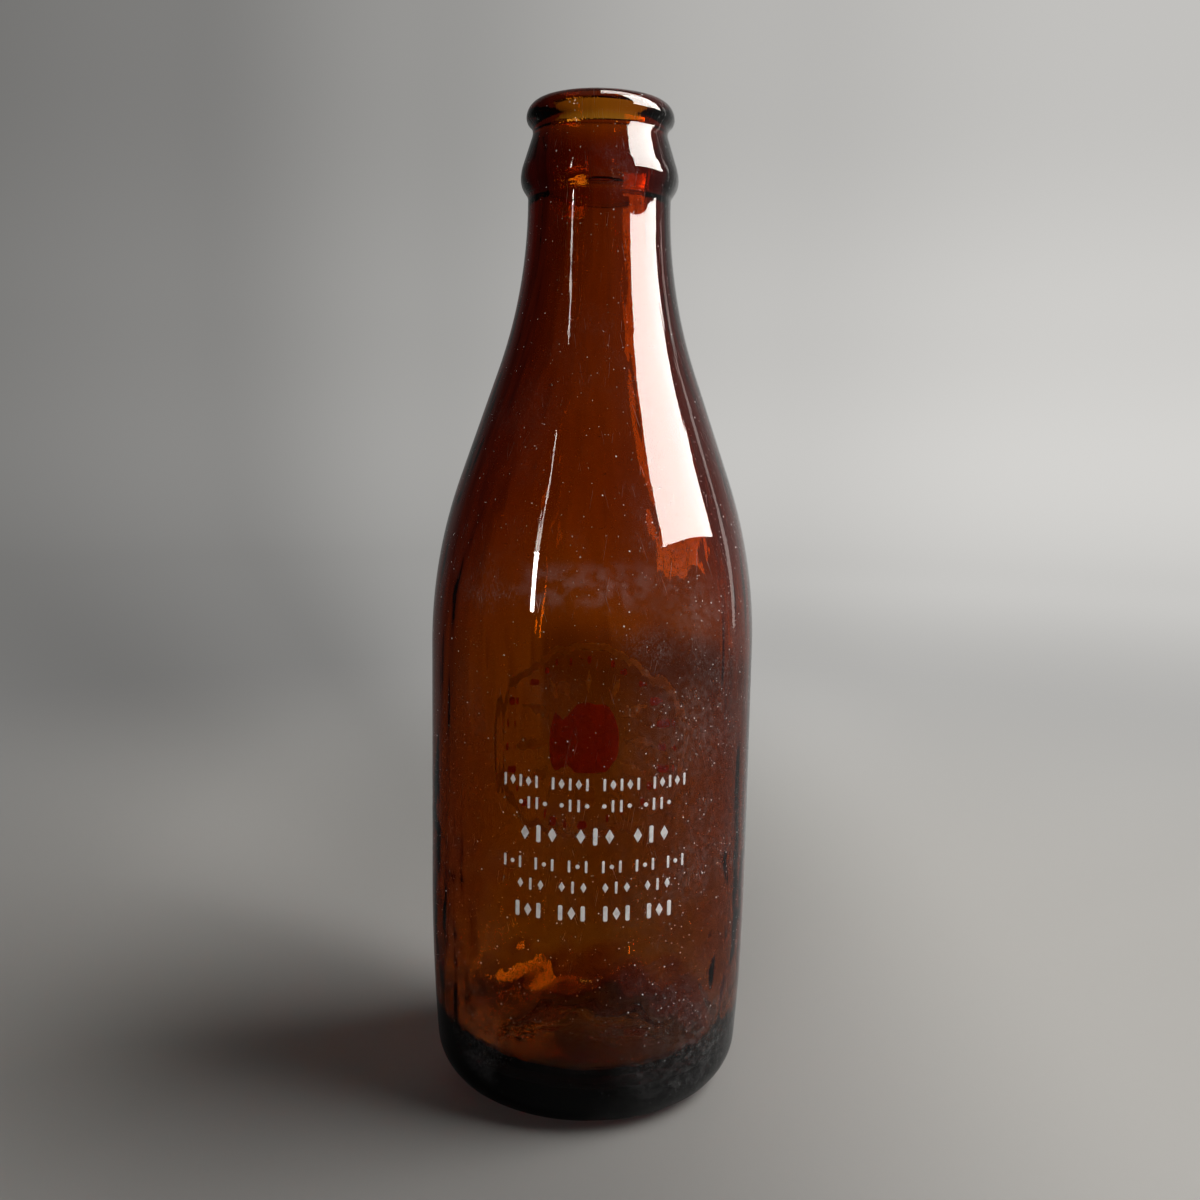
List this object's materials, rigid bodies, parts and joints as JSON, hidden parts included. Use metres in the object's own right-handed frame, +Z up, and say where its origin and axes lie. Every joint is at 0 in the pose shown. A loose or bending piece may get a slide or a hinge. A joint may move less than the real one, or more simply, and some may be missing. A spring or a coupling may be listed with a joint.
{
  "type": "glass drinks bottle",
  "caption": "Small returnable amber glass bottle with a long sloping shoulder, a crown-cork finish, a pushed-up base and fired enamel print front and back.",
  "frame": {"origin": "centre of the bearing ring, on the plane that the bottle stands on", "axes": "+Z up the bottle's axis and out of its mouth, -Y towards the back print, +Y towards the front print"},
  "size_m": [0.06, 0.0602, 0.181],
  "materials": {
    "amber_glass": "clear dark amber, fire-polished, lightly scuffed",
    "white_enamel": "fired opaque enamel, satin",
    "red_enamel": "fired opaque enamel, satin"
  },
  "bodies": {
    "root": {"glass_bottle": "amber_glass", "back_row_1": "white_enamel", "back_row_2": "white_enamel", "back_row_3": "white_enamel", "back_row_4": "white_enamel", "back_row_5": "white_enamel", "back_row_6": "white_enamel", "front_ring": "white_enamel", "front_dots": "red_enamel", "front_rays": "white_enamel", "front_disc": "red_enamel"}
  },
  "joints": []
}
